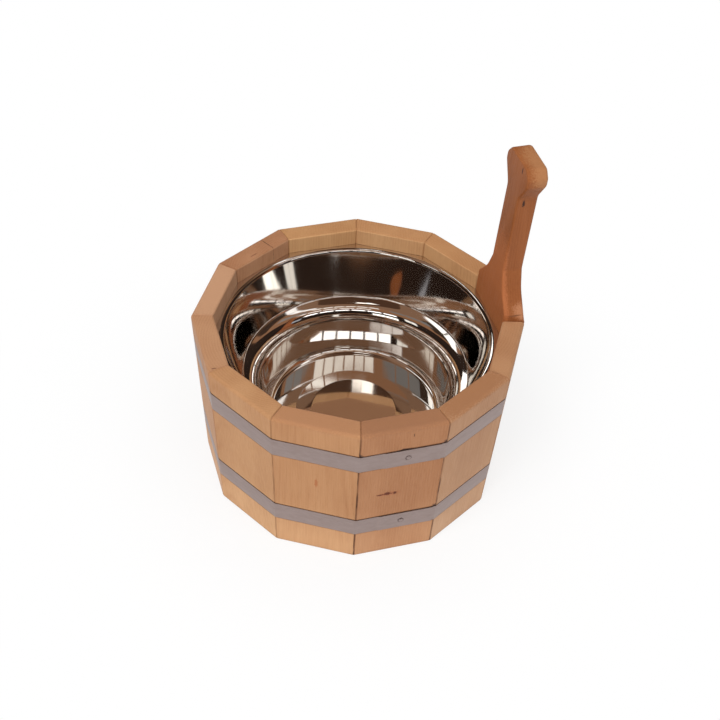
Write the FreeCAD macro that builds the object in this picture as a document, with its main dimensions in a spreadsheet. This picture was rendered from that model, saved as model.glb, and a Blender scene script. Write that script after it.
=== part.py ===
import FreeCAD, Part
import math
import os

import Sketcher

# Wooden piggin: a twelve-sided tub of leaning staves, of which one runs on upwards as the handle.
# Two lapped steel hoops hold the staves, a spun steel bowl hangs by its flange in a groove below
# the rim, and a bottom of three dowelled boards sits in a groove behind the lower hoop.
# Millimetres, +Z up. The origin is on the tub's axis in the plane of its foot, the handle on +X.

sizes = {
    # Tub
    "stave_count": 12,
    "rim_radius": 155,
    "foot_radius": 144,
    "tub_height": 168,
    "stave_thickness": 20,
    "rim_outer_round": 3.5,
    "rim_inner_round": 2,
    # Handle: the flare's height is taken from the rim, and the drops down from the crown
    "handle_height": 157,
    "grip_width": 28,
    "flare_height": 42,
    "flare_spill": 1,
    "neck_drop": 34,
    "head_width": 51,
    "head_low_drop": 16,
    "head_high_drop": 8,
    "crown_width": 37,
    "flare_round": 36,
    "flare_end_round": 9,
    "neck_round": 12,
    "head_round": 7,
    # Hoops and their nails
    "hoop_width": 20,
    "hoop_thickness": 0.6,
    "hoop_groove_depth": 0.65,
    "hoop_groove_gap": 1.2,
    "hoop_bend_radius": 0.4,
    "bend_clearance": 0.03,
    "upper_hoop_drop": 27,
    "lower_hoop_height": 32.5,
    "lap_length": 50,
    "lap_corner_gap": 5,
    "lap_step": 3,
    "lap_clearance": 0.05,
    "nail_offset": 5,
    "nail_head_diameter": 4.4,
    "nail_head_height": 0.8,
    "nail_shank_diameter": 1.8,
    "nail_length": 12,
    "nail_clearance": 0.05,
    # Steel bowl
    "bowl_wall": 0.8,
    "flange_drop": 17,
    "flange_bite": 9.5,
    "flange_clearance": 0.2,
    "flange_bend": 5,
    "mouth_inset": 4,
    "ledge_outer_inset": 17,
    "ledge_inner_inset": 32,
    "ledge_fall": 6,
    "base_inset": 39,
    "ledge_cove": 3,
    "ledge_bend": 5,
    "base_cove": 5,
    "boss_rise": 2,
    "boss_round": 8,
    "bowl_seat_gap": 1.2,
    # Wooden bottom
    "head_height": 33,
    "head_thickness": 14,
    "croze_depth": 5,
    "croze_clearance": 0.1,
    "middle_board_width": 84,
    "dowel_diameter": 6,
    "dowel_length": 36,
    "dowel_spread": 130,
    "dowel_clearance": 0.05,
    # Amount by which every cut runs past the wood
    "overrun": 5,
}

# Where the flare's middle corner lies between the grip and the rim, out from the grip and up.
flare_middle_out_share = 0.25
flare_middle_up_share = 0.57
# Height of the bowl's ledge, up from its floor, and radii of the boss pressed up in that floor.
ledge_height_share = 0.535
boss_foot_share = 0.66
boss_top_share = 0.48
# Turn from the handle to the stave where both hoops lap.
lap_turn_share = 0.75
# Flat of a nail's head across its width, and height of the head's upright rim.
nail_crown_share = 0.6
nail_rim_share = 0.4
# Two points are the same place when they lie closer than this.
same_place = 1e-4

doc = FreeCAD.newDocument("piggin")
sheet = doc.addObject("Spreadsheet::Sheet", "size")
for row, (alias, number) in enumerate(sizes.items(), start=1):
    sheet.set(f"A{row}", alias)
    sheet.set(f"B{row}", str(number))
    sheet.setAlias(f"B{row}", alias)
doc.recompute()


# Sizes that several pieces share, as expressions of the sheet

half_turn = "(180deg / size.stave_count)"
rim_face = f"(size.rim_radius * cos({half_turn}))"
foot_face = f"(size.foot_radius * cos({half_turn}))"
lean = f"(({rim_face} - {foot_face}) / size.tub_height)"
wall = f"(size.stave_thickness * sqrt(1 + {lean} ^ 2))"
handle_top = "(size.tub_height + size.handle_height)"
stave_half_width = f"(size.rim_radius * sin({half_turn}))"
flange_top = "(size.tub_height - size.flange_drop)"
bend_run = f"(size.hoop_bend_radius * tan({half_turn}))"
joint_chamfer = f"(size.hoop_groove_depth / cos({half_turn}) + {bend_run} + size.bend_clearance)"
upper_hoop_foot = "(size.tub_height - size.upper_hoop_drop - size.hoop_width)"
lower_hoop_foot = "(size.lower_hoop_height)"
head_top = "(size.head_height + size.head_thickness)"


def outer_face(height):
    """Distance from the axis to a stave's outer face, halfway between its edges."""
    return f"({foot_face} + {lean} * ({height}))"


def inner_face(height):
    """Distance from the axis to a stave's inner face, halfway between its edges."""
    return f"({outer_face(height)} - {wall})"


mouth_radius = f"({inner_face(flange_top)} - size.mouth_inset)"
flange_radius = f"({inner_face(flange_top)} + size.flange_bite)"
bowl_floor = f"({head_top} + size.bowl_seat_gap + size.bowl_wall)"
bowl_depth = f"({flange_top} - {bowl_floor})"
head_face = f"({inner_face('size.head_height')} + size.croze_depth - size.croze_clearance)"


def value(expression):
    """Number that an expression of the sheet's cells comes to."""
    return float(sheet.evalExpression(expression))


# Drawing and feature steps that the pieces share


def new_body(label):
    body = doc.addObject("PartDesign::Body", label)
    body.Label = label
    return body


def new_sketch(body, name, role, lift=None):
    """Sketch on one of the body's origin planes, raised off it by an expression."""
    sketch = body.newObject("Sketcher::SketchObject", name)
    plane = next(item for item in body.Origin.OriginFeatures if item.Role == role)
    sketch.AttachmentSupport = [(plane, "")]
    sketch.MapMode = "FlatFace"
    if lift is not None:
        sketch.setExpression("AttachmentOffset.Base.z", lift)
    return sketch


def hold_point(sketch, geometry, point, place):
    """Tie one point of a sketch to the two expressions of its place."""
    for kind, axis, expression in (("DistanceX", -2, place[0]), ("DistanceY", -1, place[1])):
        distance = value(expression)
        if abs(distance) < same_place:
            sketch.addConstraint(Sketcher.Constraint("PointOnObject", geometry, point, axis))
        else:
            rule = Sketcher.Constraint(kind, -1, 1, geometry, point, distance)
            number = sketch.addConstraint(rule)
            sketch.setExpression(f"Constraints[{number}]", expression)


def draw_outline(sketch, corners):
    """Closed outline of straight lines through corners given as pairs of expressions."""
    places = [FreeCAD.Vector(value(across), value(up), 0) for across, up in corners]
    first = sketch.GeometryCount
    for start, end in zip(places, places[1:] + places[:1]):
        sketch.addGeometry(Part.LineSegment(start, end), False)
    for index in range(len(corners)):
        following = (index + 1) % len(corners)
        joined = Sketcher.Constraint("Coincident", first + index, 2, first + following, 1)
        sketch.addConstraint(joined)
    for index, corner in enumerate(corners):
        hold_point(sketch, first + index, 1, corner)


def draw_circle(sketch, centre, diameter):
    place = FreeCAD.Vector(value(centre[0]), value(centre[1]), 0)
    circle = Part.Circle(place, FreeCAD.Vector(0, 0, 1), value(diameter) / 2)
    geometry = sketch.addGeometry(circle, False)
    hold_point(sketch, geometry, 3, centre)
    rule = Sketcher.Constraint("Diameter", geometry, value(diameter))
    number = sketch.addConstraint(rule)
    sketch.setExpression(f"Constraints[{number}]", diameter)


def pad_both_ways(body, name, sketch, length):
    pad = body.newObject("PartDesign::Pad", name)
    pad.Profile = sketch
    pad.SideType = "Symmetric"
    pad.setExpression("Length", length)
    doc.recompute()
    return pad


def cut(body, name, sketch, length=None):
    """Cut a sketch both ways from its plane, all the way through if no length is given."""
    whole = body.Shape.Volume
    pocket = body.newObject("PartDesign::Pocket", name)
    pocket.Profile = sketch
    pocket.SideType = "Symmetric"
    if length is None:
        pocket.Type = "ThroughAll"
    else:
        pocket.setExpression("Length", length)
    doc.recompute()
    if not pocket.Shape.Volume < whole:
        raise RuntimeError(f"{body.Label}: {name} removed nothing")
    return pocket


def revolve(body, name, sketch):
    """Solid of a sketch turned all round its upright axis."""
    feature = body.newObject("PartDesign::Revolution", name)
    feature.Profile = sketch
    feature.ReferenceAxis = (sketch, ["V_Axis"])
    feature.Angle = 360
    doc.recompute()
    return feature


def turn_away(body, name, sketch, axis="V_Axis"):
    """Groove cut all round one of the sketch's lines, the upright axis if none is named."""
    whole = body.Shape.Volume
    groove = body.newObject("PartDesign::Groove", name)
    groove.Profile = sketch
    groove.ReferenceAxis = (sketch, [axis])
    groove.Angle = 360
    doc.recompute()
    if not groove.Shape.Volume < whole:
        raise RuntimeError(f"{body.Label}: {name} removed nothing")
    return groove


def dress(body, kind, name, edges, size_property, size_expression):
    """Fillet or chamfer the named edges of the body as it stands."""
    feature = body.newObject(kind, name)
    feature.Base = (feature.BaseFeature, edges)
    feature.setExpression(size_property, size_expression)
    doc.recompute()
    return feature


def edges_where(shape, test):
    """Names of the edges whose ends all pass a test."""
    names = []
    for number, edge in enumerate(shape.Edges, start=1):
        if all(test(vertex.Point) for vertex in edge.Vertexes):
            names.append(f"Edge{number}")
    return names


def round_edges(body, name, edges, radius):
    return dress(body, "PartDesign::Fillet", name, edges, "Radius", radius)


# Staves


def mirrored(corners):
    """The same outline points on the other side of the stave's middle, in reverse."""
    return [(f"-({across})", up) for across, up in reversed(corners)]


def handle_corners():
    """Half of the handle's front outline, from the rim up to the crown, with corner radii."""
    foot = f"({stave_half_width} + size.flare_spill)"
    grip = "(size.grip_width / 2)"
    middle = f"({grip} + ({foot} - {grip}) * {flare_middle_out_share})"
    rim = "size.tub_height"
    return [
        (foot, rim, "size.flare_end_round"),
        (middle, f"{rim} + size.flare_height * {flare_middle_up_share}", "size.flare_round"),
        (grip, f"{rim} + size.flare_height", "size.flare_end_round"),
        (grip, f"{handle_top} - size.neck_drop", "size.neck_round"),
        ("size.head_width / 2", f"{handle_top} - size.head_low_drop", "size.head_round"),
        ("size.head_width / 2", f"{handle_top} - size.head_high_drop", "size.head_round"),
        ("size.crown_width / 2", handle_top, "size.head_round"),
    ]


def is_along_x(point, place):
    """Whether a point lies on the line along X through a place."""
    return abs(point.y - place.y) < same_place and abs(point.z - place.z) < same_place


def shape_handle(body):
    """Saw the handle's outline out of the tall blank and round the corners of the outline."""
    corners = handle_corners()
    beside = "(size.rim_radius + size.overrun)"
    above = f"({handle_top} + 2 * size.overrun)"
    half = [(across, up) for across, up, radius in corners]
    profile = new_sketch(body, "handle_outline", "YZ_Plane")
    side = [(beside, "size.tub_height")] + half
    draw_outline(profile, [(beside, above)] + side + mirrored(side) + [(f"-{beside}", above)])
    cut(body, "handle_sawing", profile)
    for number, (across, up, radius) in enumerate(corners, start=1):
        edges = []
        for y in (value(across), -value(across)):
            place = FreeCAD.Vector(0, y, value(up))
            edges += edges_where(body.Shape, lambda point: is_along_x(point, place))
        round_edges(body, f"outline_round_{number}", edges, radius)


def on_face(point, face):
    """Whether a point lies on the stave's outer or inner face."""
    return abs(point.x - value(face("0")) - value(lean) * point.z) < same_place


def is_foot(point):
    return abs(point.z) < same_place


def on_corner_line(point, side):
    """Whether a point lies on the tub's outer corner line on one side of the stave."""
    edge = side * point.x * math.tan(math.radians(value(half_turn)))
    return on_face(point, outer_face) and abs(point.y - edge) < same_place


def highest_edge(shape, face):
    names = edges_where(shape, lambda point: on_face(point, face))
    return max(names, key=lambda name: shape.getElement(name).CenterOfMass.z)


def nail_point(height, depth, aside="0"):
    """Place in the nail's upright plane: so deep from the lap's surface, so far above the axis."""
    layers = "(2 * size.hoop_thickness + size.lap_clearance - size.hoop_groove_depth)"
    slope = f"sqrt(1 + {lean} ^ 2)"
    across = f"{outer_face(height)} + {layers} + (({aside}) * {lean} - ({depth})) / {slope}"
    up = f"({height}) + (({aside}) + ({depth}) * {lean}) / {slope}"
    return across, up


def bore_nail_hole(body, name, height):
    """Hole square to the leaning outer face, turned round the nail's axis."""
    section = new_sketch(body, f"{name}_section", "XZ_Plane", "-size.nail_offset")
    radius = "(size.nail_shank_diameter / 2 + size.nail_clearance)"
    tip = "(size.nail_length + size.nail_clearance)"
    draw_outline(section, [
        nail_point(height, "-size.overrun"),
        nail_point(height, tip),
        nail_point(height, tip, radius),
        nail_point(height, "-size.overrun", radius),
    ])
    ends = [nail_point(height, "-size.overrun"), nail_point(height, tip)]
    start, end = [FreeCAD.Vector(value(across), value(up), 0) for across, up in ends]
    axis = section.addGeometry(Part.LineSegment(start, end), True)
    hold_point(section, axis, 1, ends[0])
    hold_point(section, axis, 2, ends[1])
    turn_away(body, name, section, "Axis0")


def build_stave(label, index, tall=False, nail_heights=()):
    """One stave, drawn on +X and turned to its place round the tub."""
    body = new_body(label)
    top = f"({handle_top} + size.overrun)" if tall else "(size.tub_height)"
    section = new_sketch(body, "section", "XZ_Plane")
    draw_outline(section, [
        (outer_face("0"), "0"),
        (outer_face(top), top),
        (inner_face(top), top),
        (inner_face("0"), "0"),
    ])
    pad_both_ways(body, "blank", section, "2 * size.rim_radius")
    if tall:
        shape_handle(body)
    outer_edge = highest_edge(body.Shape, outer_face)
    round_edges(body, "outer_round", [outer_edge], "size.rim_outer_round")
    inner_edge = highest_edge(body.Shape, inner_face)
    round_edges(body, "inner_round", [inner_edge], "size.rim_inner_round")

    joints = new_sketch(body, "joint_planes", "XY_Plane")
    near = f"({foot_face} / 2)"
    far = "(2 * size.rim_radius)"
    for sign in ("", "-"):
        draw_outline(joints, [
            (near, f"{sign}{near} * tan({half_turn})"),
            (far, f"{sign}{far} * tan({half_turn})"),
            (far, f"{sign}{far}"),
            (near, f"{sign}{far}"),
        ])
    cut(body, "joint_bevels", joints)

    edges = edges_where(body.Shape, lambda point: on_corner_line(point, 1))
    edges += edges_where(body.Shape, lambda point: on_corner_line(point, -1))
    edges += edges_where(body.Shape, lambda point: on_face(point, outer_face) and is_foot(point))
    dress(body, "PartDesign::Chamfer", "joint_chamfer", edges, "Size", joint_chamfer)

    grooves = new_sketch(body, "hoop_grooves", "XZ_Plane")
    for foot in (lower_hoop_foot, upper_hoop_foot):
        head = f"({foot} + size.hoop_width + size.hoop_groove_gap)"
        draw_outline(grooves, [
            (f"{outer_face(foot)} - size.hoop_groove_depth", foot),
            (f"{outer_face(foot)} + size.overrun", foot),
            (f"{outer_face(head)} + size.overrun", head),
            (f"{outer_face(head)} - size.hoop_groove_depth", head),
        ])
    cut(body, "hoop_groove", grooves)

    croze = new_sketch(body, "croze_outline", "XZ_Plane")
    depth = f"({inner_face('size.head_height')} + size.croze_depth)"
    low = "(size.head_height - size.croze_clearance)"
    high = f"({head_top} + size.croze_clearance)"
    open_side = f"({inner_face('0')} - size.overrun)"
    draw_outline(croze, [(open_side, low), (depth, low), (depth, high), (open_side, high)])
    cut(body, "croze", croze)

    seat = new_sketch(body, "flange_seat", "XZ_Plane")
    low = f"({flange_top} - size.bowl_wall - size.flange_clearance)"
    high = f"({flange_top} + size.flange_clearance)"
    depth = f"({flange_radius} + size.flange_clearance)"
    draw_outline(seat, [(mouth_radius, low), (depth, low), (depth, high), (mouth_radius, high)])
    turn_away(body, "flange_groove", seat)

    for number, height in enumerate(nail_heights, start=1):
        bore_nail_hole(body, f"nail_hole_{number}", height)
    spin = FreeCAD.Rotation(FreeCAD.Vector(0, 0, 1), index * 2 * value(half_turn))
    body.Placement = FreeCAD.Placement(FreeCAD.Vector(0, 0, 0), spin)
    return body


# Hoops

lap_turn = round(lap_turn_share * value("size.stave_count"))
lap_end = f"({stave_half_width} - size.lap_corner_gap)"
lap_start = f"({lap_end} - size.lap_length)"


def hoop_points(height, layer):
    """Strip's inside or outside line at a height, from its hidden end round to its lapped end.

    The lap is on the +X stave. The layer is the depth into the strip's thickness.
    """
    face = value(outer_face(str(height))) - value("size.hoop_groove_depth") + layer
    lifted = face + value("size.hoop_thickness") + value("size.lap_clearance")
    step_end = value(lap_start) - value("size.lap_clearance")
    step_start = step_end - value("size.lap_step")
    half = math.radians(value(half_turn))
    points = [(face, value(lap_start), 0)]
    for corner in range(int(value("size.stave_count"))):
        angle = (2 * corner + 1) * half
        radius = face / math.cos(half)
        bend = value("size.hoop_bend_radius") + layer
        points.append((radius * math.cos(angle), radius * math.sin(angle), bend))
    points.append((face, step_start, 0))
    points.append((lifted, step_end, 0))
    points.append((lifted, value(lap_end), 0))
    return points


def bent_wire(points, height):
    """Closed wire at a height through (x, y, bend radius) points, with an arc at each bend."""
    edges = []
    corners = [FreeCAD.Vector(x, y, height) for x, y, bend in points]
    arrivals = []
    departures = []
    for index, (x, y, bend) in enumerate(points):
        corner = corners[index]
        back = (corners[index - 1] - corner).normalize()
        ahead = (corners[(index + 1) % len(points)] - corner).normalize()
        half_angle = back.getAngle(ahead) / 2
        run = bend / math.tan(half_angle)
        arrivals.append(corner + back * run)
        departures.append(corner + ahead * run)
        if index:
            edges.append(Part.LineSegment(departures[index - 1], arrivals[index]).toShape())
        if bend:
            bisector = (back + ahead).normalize()
            depth = bend / math.sin(half_angle) - bend
            middle = corner + bisector * depth
            edges.append(Part.Arc(arrivals[index], middle, departures[index]).toShape())
    edges.append(Part.LineSegment(departures[-1], arrivals[0]).toShape())
    return Part.Wire(edges)


def nail_axis(height):
    """Where a nail's axis leaves the outer lap, and its direction into the wood, on +X."""
    across, up = nail_point(height, "0")
    place = FreeCAD.Vector(value(across), value("size.nail_offset"), value(up))
    inward = FreeCAD.Vector(-1, 0, value(lean)).normalize()
    return place, inward


def nail_bore(height):
    """Cylinder of the hole that a nail fills, from outside the hoop to the nail's point."""
    place, inward = nail_axis(height)
    radius = value("size.nail_shank_diameter / 2 + size.nail_clearance")
    overrun = value("size.overrun")
    length = value("size.nail_length + size.nail_clearance")
    return Part.makeCylinder(radius, length + overrun, place - inward * overrun, inward)


def build_hoop(label, foot):
    """Lapped strip that leans with the staves, pierced for its nail."""
    low = value(foot)
    high = low + value("size.hoop_width")
    thickness = value("size.hoop_thickness")
    wires = []
    for height in (low, high):
        inside = hoop_points(height, 0)
        outside = hoop_points(height, thickness)
        wires.append(bent_wire(inside + outside[::-1], height))
    strip = Part.makeLoft(wires, True, True)
    hoop = doc.addObject("Part::Feature", label)
    hoop.Label = label
    hoop.Shape = strip.cut(nail_bore(f"({foot} + size.hoop_width / 2)"))
    spin = FreeCAD.Rotation(FreeCAD.Vector(0, 0, 1), lap_turn * 2 * value(half_turn))
    hoop.Placement = FreeCAD.Placement(FreeCAD.Vector(0, 0, 0), spin)
    return hoop


def build_nail(label, foot):
    """Round-headed nail: a domed head on the lap and a shank with a blunt point."""
    body = new_body(label)
    outline = new_sketch(body, "half_section", "XZ_Plane")
    shank = "(size.nail_shank_diameter / 2)"
    head = "(size.nail_head_diameter / 2)"
    draw_outline(outline, [
        ("0", "size.nail_head_height"),
        (f"{head} * {nail_crown_share}", "size.nail_head_height"),
        (head, f"size.nail_head_height * {nail_rim_share}"),
        (head, "0"),
        (shank, "0"),
        (shank, "-(size.nail_length - size.nail_shank_diameter)"),
        ("0", "-size.nail_length"),
    ])
    revolve(body, "nail", outline)
    place, inward = nail_axis(f"({foot} + size.hoop_width / 2)")
    seated = FreeCAD.Rotation(FreeCAD.Vector(0, 0, -1), inward)
    spin = FreeCAD.Rotation(FreeCAD.Vector(0, 0, 1), lap_turn * 2 * value(half_turn))
    body.Placement = FreeCAD.Placement(spin.multVec(place), spin.multiply(seated))
    return body


# Steel bowl


def ring_edge(shape, height, radius):
    """Name of the level circular edge nearest to a radius at a height."""
    found = {}
    for number, edge in enumerate(shape.Edges, start=1):
        level = abs(edge.BoundBox.ZMin - height) < same_place
        if level and isinstance(edge.Curve, Part.Circle):
            found[abs(edge.Curve.Radius - radius)] = f"Edge{number}"
    return found[min(found)]


def build_bowl(label):
    """Spun bowl: the solid of its hollow, rounded, then walled outwards and flanged."""
    body = new_body(label)
    base_radius = f"({mouth_radius} - size.base_inset)"
    boss_top = f"{base_radius} * {boss_top_share}"
    boss_foot = f"{base_radius} * {boss_foot_share}"
    ledge = f"{bowl_floor} + {bowl_depth} * {ledge_height_share}"
    ledge_outer = f"{mouth_radius} - size.ledge_outer_inset"
    ledge_inner = f"{mouth_radius} - size.ledge_inner_inset"
    ledge_foot = f"{ledge} - size.ledge_fall"
    boss_height = f"{bowl_floor} + size.boss_rise"
    hollow = new_sketch(body, "hollow_section", "XZ_Plane")
    draw_outline(hollow, [
        ("0", boss_height),
        (boss_top, boss_height),
        (boss_foot, bowl_floor),
        (base_radius, bowl_floor),
        (ledge_inner, ledge_foot),
        (ledge_outer, ledge),
        (mouth_radius, flange_top),
        ("0", flange_top),
    ])
    revolve(body, "hollow", hollow)
    for name, radius, height, bend in (
        ("ledge_cove", ledge_outer, ledge, "size.ledge_cove"),
        ("ledge_bend", ledge_inner, ledge_foot, "size.ledge_bend"),
        ("base_cove", base_radius, bowl_floor, "size.base_cove"),
        ("boss_foot_round", boss_foot, bowl_floor, "size.boss_round"),
        ("boss_top_round", boss_top, boss_height, "size.boss_round"),
    ):
        edge = ring_edge(body.Shape, value(height), value(radius))
        round_edges(body, name, [edge], bend)
    lid = None
    for number, face in enumerate(body.Shape.Faces, start=1):
        if face.BoundBox.ZMin > value(flange_top) - same_place:
            lid = f"Face{number}"
    shell = body.newObject("PartDesign::Thickness", "spun_wall")
    shell.Base = (shell.BaseFeature, [lid])
    shell.setExpression("Value", "size.bowl_wall")
    shell.Reversed = False
    doc.recompute()

    rim = new_sketch(body, "flange_section", "XZ_Plane")
    under = f"({flange_top} - size.bowl_wall)"
    draw_outline(rim, [
        (mouth_radius, under),
        (flange_radius, under),
        (flange_radius, flange_top),
        (mouth_radius, flange_top),
    ])
    revolve(body, "flange", rim)
    under_edge = ring_edge(body.Shape, value(under), value(f"{mouth_radius} + size.bowl_wall"))
    round_edges(body, "under_bend", [under_edge], "size.flange_bend - size.bowl_wall")
    mouth_edge = ring_edge(body.Shape, value(flange_top), value(mouth_radius))
    round_edges(body, "mouth_bend", [mouth_edge], "size.flange_bend")
    return body


# Wooden bottom

dowel_height = "(size.head_height + size.head_thickness / 2)"
board_joint = "(size.middle_board_width / 2)"


def build_board(label, sides_to_cut):
    """One board of the bottom: the whole polygon, sawn at the board joints, bored for dowels."""
    body = new_body(label)
    outline = new_sketch(body, "bottom_outline", "XY_Plane", dowel_height)
    corners = []
    for corner in range(int(value("size.stave_count"))):
        angle = f"({2 * corner + 1} * {half_turn})"
        radius = f"({head_face} / cos({half_turn}))"
        corners.append((f"{radius} * cos({angle})", f"{radius} * sin({angle})"))
    draw_outline(outline, corners)
    pad_both_ways(body, "whole_bottom", outline, "size.head_thickness")
    reach = "(2 * size.rim_radius)"
    saw = new_sketch(body, "saw_lines", "XY_Plane")
    for near, far in sides_to_cut:
        draw_outline(saw, [(reach, near), (reach, far), (f"-{reach}", far), (f"-{reach}", near)])
    cut(body, "sawing", saw)
    joints = [near for near, far in sides_to_cut]
    for number, joint in enumerate(joints, start=1):
        holes = new_sketch(body, f"dowel_holes_{number}", "XZ_Plane", f"-({joint})")
        for side in ("", "-"):
            place = (f"{side}(size.dowel_spread / 2)", dowel_height)
            draw_circle(holes, place, "size.dowel_diameter + 2 * size.dowel_clearance")
        depth = "size.dowel_length + 2 * size.dowel_clearance"
        cut(body, f"dowel_boring_{number}", holes, depth)
    return body


def build_dowels(label):
    """Dowels across the two board joints, kept together as one group of separate solids."""
    dowels = []
    for joint in (board_joint, f"-{board_joint}"):
        for side in ("", "-"):
            dowel = doc.addObject("Part::Cylinder", f"dowel_{len(dowels) + 1}")
            dowel.setExpression("Radius", "size.dowel_diameter / 2")
            dowel.setExpression("Height", "size.dowel_length")
            x = value(f"{side}(size.dowel_spread / 2)")
            y = value(f"{joint} - size.dowel_length / 2")
            along = FreeCAD.Rotation(FreeCAD.Vector(0, 0, 1), FreeCAD.Vector(0, 1, 0))
            place = FreeCAD.Vector(x, y, value(dowel_height))
            dowel.Placement = FreeCAD.Placement(place, along)
            dowels.append(dowel)
    group = doc.addObject("Part::Compound", label)
    group.Label = label
    group.Links = dowels
    doc.recompute()
    return group


nail_heights = [f"({foot} + size.hoop_width / 2)" for foot in (upper_hoop_foot, lower_hoop_foot)]
pieces = [build_stave("handle_stave", 0, tall=True)]
for index in range(1, int(value("size.stave_count"))):
    nailed = nail_heights if index == lap_turn else ()
    pieces.append(build_stave(f"stave_{index:02d}", index, nail_heights=nailed))
pieces.append(build_bowl("steel_bowl"))
pieces.append(build_hoop("upper_hoop", upper_hoop_foot))
pieces.append(build_hoop("lower_hoop", lower_hoop_foot))
pieces.append(build_nail("upper_hoop_nail", upper_hoop_foot))
pieces.append(build_nail("lower_hoop_nail", lower_hoop_foot))
outside = "(2 * size.rim_radius)"
left_of_joint = (board_joint, outside)
right_of_joint = (f"-{board_joint}", f"-{outside}")
pieces.append(build_board("bottom_board_1", [(f"-{board_joint}", outside)]))
pieces.append(build_board("bottom_board_2", [left_of_joint, right_of_joint]))
pieces.append(build_board("bottom_board_3", [(board_joint, f"-{outside}")]))
pieces.append(build_dowels("bottom_dowels"))
doc.recompute()

for item in doc.Objects:
    if "Invalid" in item.State or "Error" in item.State:
        raise RuntimeError(f"{item.Label} failed: {item.State}")
for piece in pieces:
    if piece.Shape.isNull() or not piece.Shape.isValid():
        raise RuntimeError(f"{piece.Label} has no valid shape")

os.makedirs("parts", exist_ok=True)
for piece in pieces:
    piece.Shape.exportStep(f"parts/{piece.Label}.step")
    box = piece.Shape.BoundBox
    print(f"{piece.Label}: {len(piece.Shape.Solids)} solid, {piece.Shape.Volume:.0f} mm3,"
          f" z {box.ZMin:.1f} to {box.ZMax:.1f}")
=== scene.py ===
import math
import random

import bmesh
import bpy
from mathutils import Matrix, Vector


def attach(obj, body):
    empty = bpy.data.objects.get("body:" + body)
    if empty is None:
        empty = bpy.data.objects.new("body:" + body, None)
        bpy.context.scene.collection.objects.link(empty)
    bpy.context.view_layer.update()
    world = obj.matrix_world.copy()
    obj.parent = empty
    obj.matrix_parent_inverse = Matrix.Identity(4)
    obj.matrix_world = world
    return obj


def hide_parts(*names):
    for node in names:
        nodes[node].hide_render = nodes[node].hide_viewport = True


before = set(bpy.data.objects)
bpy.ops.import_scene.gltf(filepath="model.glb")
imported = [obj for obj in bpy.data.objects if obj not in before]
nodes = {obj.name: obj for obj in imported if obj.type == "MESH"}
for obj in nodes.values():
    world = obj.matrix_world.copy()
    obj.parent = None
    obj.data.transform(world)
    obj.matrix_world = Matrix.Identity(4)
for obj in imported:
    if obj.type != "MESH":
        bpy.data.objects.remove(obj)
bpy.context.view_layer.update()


# Camera, at the photograph's viewing angle: above and to the left of the handle's side, looking
# down into the bowl, with the small tilt that the photograph has.

view_azimuth = math.radians(-108.02)
view_elevation = math.radians(42.49)
view_roll = math.radians(-3.188)
view_distance = 1.3707
aim_point = Vector((0, 0, 0.0844))
frame_shift = (0.004836, 0.022506)

backward = Vector((
    math.cos(view_elevation) * math.cos(view_azimuth),
    math.cos(view_elevation) * math.sin(view_azimuth),
    math.sin(view_elevation),
))
level_right = Vector((-math.sin(view_azimuth), math.cos(view_azimuth), 0))
level_up = backward.cross(level_right)
right = level_right * math.cos(view_roll) - level_up * math.sin(view_roll)
up = level_right * math.sin(view_roll) + level_up * math.cos(view_roll)
place = aim_point + backward * view_distance + right * frame_shift[0] + up * frame_shift[1]

camera_data = bpy.data.cameras.new("camera")
camera_data.lens = 70.98
camera_data.sensor_width = 36
camera = bpy.data.objects.new("camera", camera_data)
camera.matrix_world = Matrix((
    (right.x, up.x, backward.x, place.x),
    (right.y, up.y, backward.y, place.y),
    (right.z, up.z, backward.z, place.z),
    (0, 0, 0, 1),
))
bpy.context.scene.collection.objects.link(camera)
bpy.context.scene.camera = camera
bpy.context.scene.view_settings.view_transform = "Standard"


# Studio: a white floor that keeps a soft shadow, white all round, and soft light from above and
# from the front left. The floor and the world are white to the camera and in reflections.


def add_node(tree, kind, **settings):
    """New node of a tree; a key with a capital sets the input socket of that name."""
    node = tree.nodes.new(kind)
    for key, setting in settings.items():
        if key[0].isupper():
            node.inputs[key.replace("_", " ")].default_value = setting
        else:
            setattr(node, key, setting)
    return node


def seen_in_white(tree):
    """1 for rays that show the surroundings to the eye, straight or by a mirror or glass."""
    path = add_node(tree, "ShaderNodeLightPath")
    either = add_node(tree, "ShaderNodeMath", operation="MAXIMUM")
    tree.links.new(path.outputs["Is Camera Ray"], either.inputs[0])
    tree.links.new(path.outputs["Is Glossy Ray"], either.inputs[1])
    any_of_three = add_node(tree, "ShaderNodeMath", operation="MAXIMUM")
    tree.links.new(either.outputs[0], any_of_three.inputs[0])
    tree.links.new(path.outputs["Is Transmission Ray"], any_of_three.inputs[1])
    return any_of_three.outputs[0]


world = bpy.data.worlds.new("studio")
world.use_nodes = True
tree = world.node_tree
tree.nodes.clear()
soft_fill = add_node(tree, "ShaderNodeBackground", Color=(1, 1, 1, 1), Strength=0.42)
white_room = add_node(tree, "ShaderNodeBackground", Color=(1, 1, 1, 1), Strength=1.0)
mixed = add_node(tree, "ShaderNodeMixShader")
output = add_node(tree, "ShaderNodeOutputWorld")
tree.links.new(seen_in_white(tree), mixed.inputs[0])
tree.links.new(soft_fill.outputs[0], mixed.inputs[1])
tree.links.new(white_room.outputs[0], mixed.inputs[2])
tree.links.new(mixed.outputs[0], output.inputs["Surface"])
bpy.context.scene.world = world

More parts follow.
